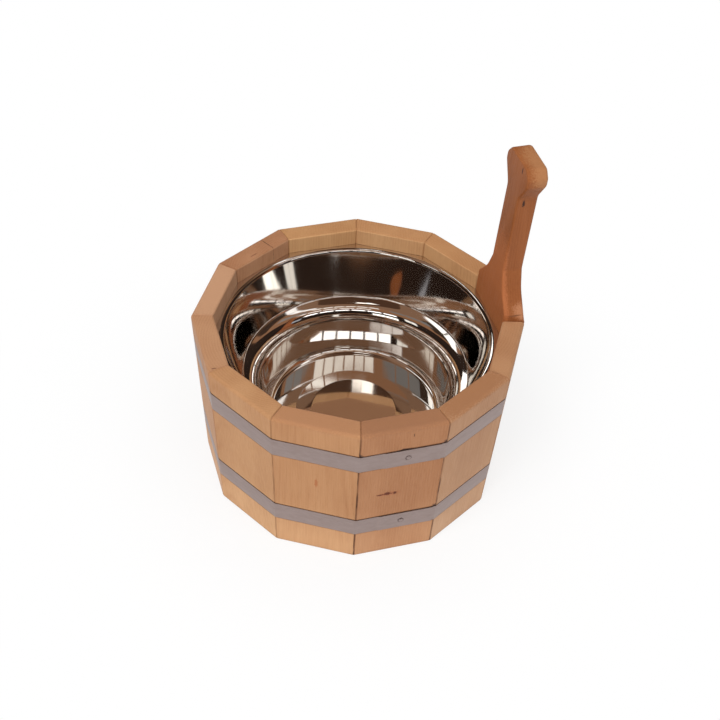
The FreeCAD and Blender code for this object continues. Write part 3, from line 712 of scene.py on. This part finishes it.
def made_by(tree, name, start, settings):
    """Plain mesh object of a node tree run on a starting mesh, its inputs set by identifier."""
    piece = bpy.data.objects.new(name, start)
    bpy.context.scene.collection.objects.link(piece)
    modifier = piece.modifiers.new("making", "NODES")
    modifier.node_group = tree
    for item in tree.interface.items_tree:
        if item.in_out == "INPUT" and item.name in settings:
            modifier[item.identifier] = settings[item.name]
    bpy.context.view_layer.update()
    scene_state = bpy.context.evaluated_depsgraph_get()
    made = bpy.data.meshes.new_from_object(piece.evaluated_get(scene_state))
    made.name = name
    piece.modifiers.remove(modifier)
    piece.data = made
    return piece


def profile_line(name, corners):
    """Line of points (radius, height) with the radius that each corner is rounded by, in mm."""
    mesh = bpy.data.meshes.new(name)
    mesh.from_pydata(
        [(out / 1000, up_by / 1000, 0) for out, up_by, _ in corners],
        [(start, start + 1) for start in range(len(corners) - 1)], [])
    radii = mesh.attributes.new("corner_radius", "FLOAT", "POINT")
    for index, (_, _, radius) in enumerate(corners):
        radii.data[index].value = radius / 1000
    return mesh


spun_lines, given, result = new_group(
    "spun_lines", (("Place", "Vector"),), (("Roughness", "Float"),))
parts = add_node(spun_lines, "ShaderNodeSeparateXYZ")
spun_lines.links.new(given["Place"], parts.inputs[0])
out_from_axis = figure(
    spun_lines, "SQRT", figure(
        spun_lines, "MULTIPLY_ADD", parts.outputs["X"], parts.outputs["X"],
        figure(spun_lines, "MULTIPLY", parts.outputs["Y"], parts.outputs["Y"])))
round_and_up = add_node(spun_lines, "ShaderNodeCombineXYZ")
spun_lines.links.new(out_from_axis, round_and_up.inputs[0])
spun_lines.links.new(parts.outputs["Z"], round_and_up.inputs[2])
turning_marks = noise(
    spun_lines, stretched(spun_lines, round_and_up.outputs[0], (1400, 1, 1400)), 2, 0.6)
smears = noise(spun_lines, stretched(spun_lines, given["Place"], (38, 38, 22)), 3, 0.55)
spun_lines.links.new(
    figure(
        spun_lines, "MULTIPLY_ADD", turning_marks, 0.012,
        eased(spun_lines, smears, 0.35, 0.75, 0.038, 0.070)),
    result["Roughness"])

bowl_steel = bpy.data.materials.new("bowl_steel")
bowl_steel.use_nodes = True
tree = bowl_steel.node_tree
shader = tree.nodes["Principled BSDF"]
shader.inputs["Base Color"].default_value = (0.78, 0.75, 0.72, 1)
shader.inputs["Metallic"].default_value = 1.0
shader.inputs["Anisotropic"].default_value = 0.3
spots = add_node(tree, "ShaderNodeTexCoord")
steel = add_node(tree, "ShaderNodeGroup", node_tree=spun_lines)
tree.links.new(spots.outputs["Object"], steel.inputs["Place"])
tree.links.new(steel.outputs["Roughness"], shader.inputs["Roughness"])
turning = add_node(tree, "ShaderNodeTangent", direction_type="RADIAL", axis="Z")
tree.links.new(turning.outputs[0], shader.inputs["Tangent"])

bowl_profile = profile_line("bowl_profile", (
    (0, 51.0, 0), (41.0, 51.0, 8), (56.4, 49.0, 8), (85.6, 49.0, 8), (92.6, 97.6, 20),
    (107.6, 103.6, 3), (124.6, 151.0, 5), (137.9, 151.0, 0)))
bowl = made_by(spun_form, "spun_bowl", bowl_profile, {
    "Segments": 192, "Corner Steps": 9, "Finish": bowl_steel})
sheet = bowl.modifiers.new("sheet", "SOLIDIFY")
sheet.thickness = bowl_sheet
sheet.offset = -1
flat_walls = bowl.modifiers.new("flat_walls", "WEIGHTED_NORMAL")
flat_walls.weight = 100
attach(bowl, "root")
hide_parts("steel_bowl")


# Hoops: two bands of matt rolled steel strip, bent round the twelve corners in shallow grooves,
# each with its ends lapped on the same stave and nailed there.

bent_strip = bpy.data.node_groups.new("bent_strip", "GeometryNodeTree")
bent_strip.is_modifier = True
for label, kind, in_out in (
    ("Path", "Geometry", "INPUT"), ("Bend Radius", "Float", "INPUT"), ("Width", "Float", "INPUT"),
    ("Thickness", "Float", "INPUT"), ("Lean", "Float", "INPUT"), ("Finish", "Material", "INPUT"),
    ("Strip", "Geometry", "OUTPUT"),
):
    bent_strip.interface.new_socket(label, in_out=in_out, socket_type=f"NodeSocket{kind}")
given = bent_strip.nodes.new("NodeGroupInput").outputs
result = bent_strip.nodes.new("NodeGroupOutput").inputs
line = add_node(bent_strip, "GeometryNodeMeshToCurve")
bent_strip.links.new(given["Path"], line.inputs["Mesh"])
bent = add_node(bent_strip, "GeometryNodeFilletCurve", mode="POLY", Count=6)
bent_strip.links.new(line.outputs[0], bent.inputs["Curve"])
bent_strip.links.new(given["Bend Radius"], bent.inputs["Radius"])
upright = add_node(bent_strip, "GeometryNodeSetCurveNormal", mode="Z_UP")
bent_strip.links.new(bent.outputs[0], upright.inputs["Curve"])
section = add_node(bent_strip, "GeometryNodeCurvePrimitiveQuadrilateral", mode="RECTANGLE")
bent_strip.links.new(given["Thickness"], section.inputs["Width"])
bent_strip.links.new(given["Width"], section.inputs["Height"])
rolled = add_node(bent_strip, "GeometryNodeFilletCurve", mode="POLY", Count=3)
bent_strip.links.new(section.outputs[0], rolled.inputs["Curve"])
edge_radius = add_node(bent_strip, "ShaderNodeMath", operation="MULTIPLY")
edge_radius.inputs[1].default_value = 0.35
bent_strip.links.new(given["Thickness"], edge_radius.inputs[0])
bent_strip.links.new(edge_radius.outputs[0], rolled.inputs["Radius"])
turned = add_node(bent_strip, "ShaderNodeCombineXYZ")
bent_strip.links.new(given["Lean"], turned.inputs["Z"])
leaning = add_node(bent_strip, "GeometryNodeTransform")
bent_strip.links.new(rolled.outputs[0], leaning.inputs["Geometry"])
bent_strip.links.new(turned.outputs[0], leaning.inputs["Rotation"])
swept = add_node(bent_strip, "GeometryNodeCurveToMesh", Fill_Caps=True)
bent_strip.links.new(upright.outputs[0], swept.inputs["Curve"])
bent_strip.links.new(leaning.outputs[0], swept.inputs["Profile Curve"])
whole = add_node(bent_strip, "GeometryNodeRealizeInstances")
bent_strip.links.new(swept.outputs[0], whole.inputs["Geometry"])
finished = add_node(bent_strip, "GeometryNodeSetMaterial")
bent_strip.links.new(whole.outputs[0], finished.inputs["Geometry"])
bent_strip.links.new(given["Finish"], finished.inputs["Material"])
bent_strip.links.new(finished.outputs[0], result["Strip"])

rolled_steel, given, result = new_group(
    "rolled_steel", (("Place", "Vector"),),
    (("Color", "Color"), ("Roughness", "Float"), ("Height", "Float")))
scuffs = noise(rolled_steel, stretched(rolled_steel, given["Place"], (70, 70, 160)), 3, 0.6)
rolling = noise(rolled_steel, stretched(rolled_steel, given["Place"], (40, 40, 2600)), 2, 0.6)
shade = figure(rolled_steel, "MULTIPLY_ADD", rolling, 0.35, scuffs)
shade = eased(rolled_steel, shade, 0.40, 0.95)
rolled_steel.links.new(
    tinted(rolled_steel, shade, (0.33, 0.255, 0.235), (0.43, 0.345, 0.325)), result["Color"])
rolled_steel.links.new(eased(rolled_steel, scuffs, 0.3, 0.7, 0.46, 0.60), result["Roughness"])
rolled_steel.links.new(rolling, result["Height"])


def strip_finish(name, marks=()):
    material = bpy.data.materials.new(name)
    material.use_nodes = True
    tree = material.node_tree
    shader = tree.nodes["Principled BSDF"]
    shader.inputs["Metallic"].default_value = 1.0
    spots = add_node(tree, "ShaderNodeTexCoord")
    steel = add_node(tree, "ShaderNodeGroup", node_tree=rolled_steel)
    tree.links.new(spots.outputs["Object"], steel.inputs["Place"])
    colour = steel.outputs["Color"]
    for centre, size, stain_and_painted_light in marks:
        mark = add_node(tree, "ShaderNodeGroup", node_tree=blemish_and_painted_light, Centre=centre, Reach=size)
        tree.links.new(spots.outputs["Object"], mark.inputs["Place"])
        colour = tinted(tree, mark.outputs["Share"], colour, stain_and_painted_light)
    tree.links.new(colour, shader.inputs["Base Color"])
    tree.links.new(steel.outputs["Roughness"], shader.inputs["Roughness"])
    relief = add_node(tree, "ShaderNodeBump", Strength=0.2, Distance=0.00005)
    tree.links.new(steel.outputs["Height"], relief.inputs["Height"])
    tree.links.new(relief.outputs[0], shader.inputs["Normal"])
    return material


stave_lean = math.atan(0.0633)
hoop_thickness = 0.0006
hoop_bend = 0.0022
lap_lift = 0.00065
nail_offset = 0.005
for name, middle, face in (
    ("upper_hoop", 0.131, 0.14703), ("lower_hoop", 0.0425, 0.14143),
):
    lifted = face + lap_lift
    corners = [math.radians(-75 + 30 * step) for step in range(12)]
    outline = [(-0.01488, -face)]
    outline += [
        (math.cos(at) * face / math.cos(half_turn), math.sin(at) * face / math.cos(half_turn))
        for at in corners]
    outline += [(-0.01793, -face), (-0.01493, -lifted), (0.03512, -lifted)]
    path = bpy.data.meshes.new(f"{name}_path")
    path.from_pydata(
        [(x, y, middle) for x, y in outline],
        [(start, start + 1) for start in range(len(outline) - 1)], [])
    finish = strip_finish(f"{name}_steel", (
        ((nail_offset, -lifted, middle), (0.0034, 0.0030, 0.0034), (0.09, 0.065, 0.058)),))
    strip = made_by(bent_strip, f"bent_{name}", path, {
        "Bend Radius": hoop_bend, "Width": hoop_width, "Thickness": hoop_thickness,
        "Lean": stave_lean, "Finish": finish})
    strip.data.set_sharp_from_angle(angle=math.radians(40))
    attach(strip, "root")
    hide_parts(name)


# Nails: one through each lap, a thin wire nail driven into the stave behind, with a small flat
# head that the hammer dimpled.

nail_steel = strip_finish("nail_steel")
for name, middle, face in (
    ("upper_hoop_nail", 0.131, 0.14798), ("lower_hoop_nail", 0.0425, 0.14238),
):
    nail_profile = profile_line(f"{name}_profile", (
        (0, 0.40, 0), (0.9, 0.78, 0.5), (2.15, 0.45, 0.4), (2.15, 0.02, 0.1), (0.95, 0.02, 0.1),
        (0.95, -10.8, 0.2), (0, -12.4, 0)))
    nail = made_by(spun_form, f"driven_{name}", nail_profile, {
        "Segments": 32, "Corner Steps": 4, "Finish": nail_steel})
    out_of_face = Vector((0, -math.cos(stave_lean), -math.sin(stave_lean)))
    driven_in = out_of_face.to_track_quat("Z", "Y").to_matrix().to_4x4()
    nail.data.transform(Matrix.Translation((nail_offset, -face, middle)) @ driven_in)
    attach(nail, "root")
    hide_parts(name)
